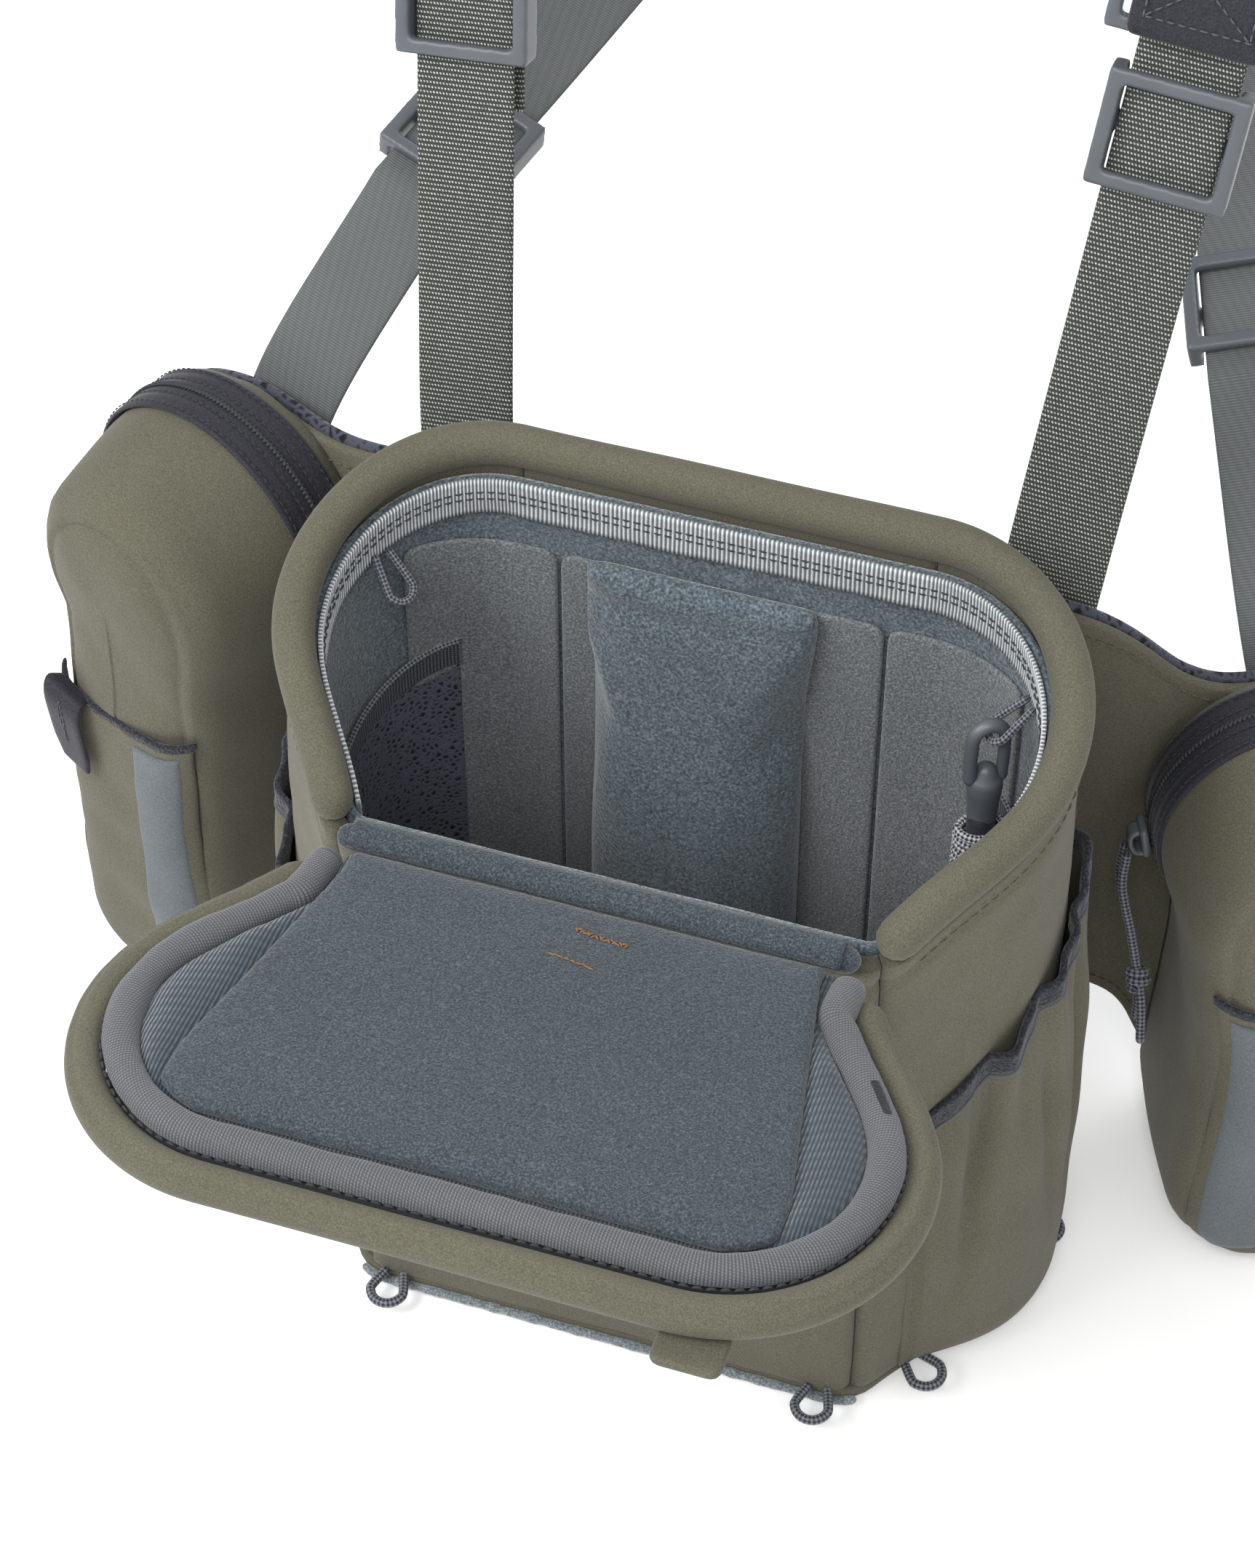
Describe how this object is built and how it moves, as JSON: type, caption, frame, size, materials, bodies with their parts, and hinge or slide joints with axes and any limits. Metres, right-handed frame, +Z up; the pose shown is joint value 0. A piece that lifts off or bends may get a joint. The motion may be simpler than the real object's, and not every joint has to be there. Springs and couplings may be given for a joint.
{
  "type": "fishing chest pack",
  "caption": "Padded fishing chest pack on a shoulder harness, with a fold-down lid, zipped side pouches, stretch pockets and a tether.",
  "frame": {"origin": "middle of the flat underside of the main pouch, on the surface that it stands on", "axes": "+Z up, -Y away from the wearer (the lid side), +X to the right seen from the front; the wearer stands on the +Y side"},
  "size_m": [0.3944, 0.4803, 0.3967],
  "materials": {
    "softshell": "matte brushed softshell",
    "fleece": "brushed fleece",
    "dark_nylon": "matte woven nylon",
    "webbing": "ribbed webbing with pale flecks",
    "side_webbing": "smooth woven webbing",
    "rim_tape": "ribbed grosgrain",
    "gasket": "woven piping",
    "plastic": "satin moulded plastic",
    "mesh": "spacer mesh",
    "board": "plain sheet",
    "cord": "braided cord"
  },
  "bodies": {
    "pack": {"anchor_loop_left": "cord", "anchor_loop_right": "cord", "back_mesh": "mesh", "back_panel": "softshell", "base_board": "board", "base_panel": "softshell", "divider_pad": "fleece", "front_panel": "softshell", "front_strap_left": "webbing", "front_strap_right": "webbing", "hinge_fold": "fleece", "lash_loop_front_left": "cord", "lash_loop_front_right": "cord", "lash_loop_rear_left": "cord", "lash_loop_rear_right": "cord", "lash_loop_side_left": "cord", "lash_loop_side_right": "cord", "liner": "fleece", "mesh_pocket_left": "mesh", "mesh_pocket_right": "mesh", "pouch_pocket_left": "softshell", "pouch_pocket_right": "softshell", "rim_roll": "softshell", "rim_tape": "rim_tape", "ring_left": "plastic", "ring_right": "plastic", "shoulder_pad_left": "dark_nylon", "shoulder_pad_right": "dark_nylon", "side_panel_left": "softshell", "side_panel_right": "softshell", "side_pocket_binding_left": "dark_nylon", "side_pocket_binding_right": "dark_nylon", "side_pocket_left": "softshell", "side_pocket_right": "softshell", "side_pouch_left": "softshell", "side_pouch_right": "softshell", "side_strap_left": "side_webbing", "side_strap_right": "side_webbing", "wing_left": "softshell", "wing_right": "softshell", "yoke": "softshell", "yoke_mesh": "mesh", "zip_tape_left": "dark_nylon", "zip_tape_right": "dark_nylon"},
    "lid": {"lid_board": "board", "lid_edge_roll": "softshell", "lid_gasket": "gasket", "lid_lining": "fleece", "lid_pull_tab": "softshell", "lid_shell": "softshell"},
    "zip_slider_left_body": {"zip_slider_left": "plastic", "zip_pull_left": "cord"},
    "zip_slider_right_body": {"zip_slider_right": "plastic", "zip_pull_right": "cord"},
    "front_glide_left": {"triglide_left": "plastic"},
    "front_glide_right": {"triglide_right": "plastic"},
    "side_glide_left": {"side_triglide_left": "plastic"},
    "side_glide_right": {"side_triglide_right": "plastic"},
    "tether": {"tether_hook": "plastic", "tether_hank": "cord"}
  },
  "joints": [
    {"name": "lid_hinge", "type": "hinge", "parent": "pack", "child": "lid", "pos_m": [0, -0.056, 0.18666], "axis": [-1, 0, 0], "range_deg": [-48, 150.4]},
    {"name": "zip_travel_left", "type": "hinge", "parent": "pack", "child": "zip_slider_left_body", "pos_m": [-0.14792, 0.07415, 0.149], "axis": [-0.3746, -0.9272, 0], "range_deg": [0, 203], "deforming": ["zip_pull_left"]},
    {"name": "zip_travel_right", "type": "hinge", "parent": "pack", "child": "zip_slider_right_body", "pos_m": [0.14792, 0.07415, 0.132], "axis": [-0.3746, 0.9272, 0], "range_deg": [0, 203], "deforming": ["zip_pull_right"]},
    {"name": "front_strap_glide_left", "type": "slide", "parent": "pack", "child": "front_glide_left", "axis": [-0.0827, 0.3162, 0.9451], "range_m": [-0.063, 0.005]},
    {"name": "front_strap_glide_right", "type": "slide", "parent": "pack", "child": "front_glide_right", "axis": [0.0827, 0.3162, 0.9451], "range_m": [-0.063, 0.005]},
    {"name": "side_strap_glide_left", "type": "slide", "parent": "pack", "child": "side_glide_left", "axis": [0.3008, 0.9276, 0.2214], "range_m": [-0.005, 0.033]},
    {"name": "side_strap_glide_right", "type": "slide", "parent": "pack", "child": "side_glide_right", "axis": [-0.3008, 0.9276, 0.2214], "range_m": [-0.005, 0.033]},
    {"name": "tether_swing", "type": "hinge", "parent": "pack", "child": "tether", "pos_m": [0.07478, 0.01982, 0.18908], "axis": [-0.5358, 0.8443, 0], "range_deg": [-2, 50]}
  ]
}
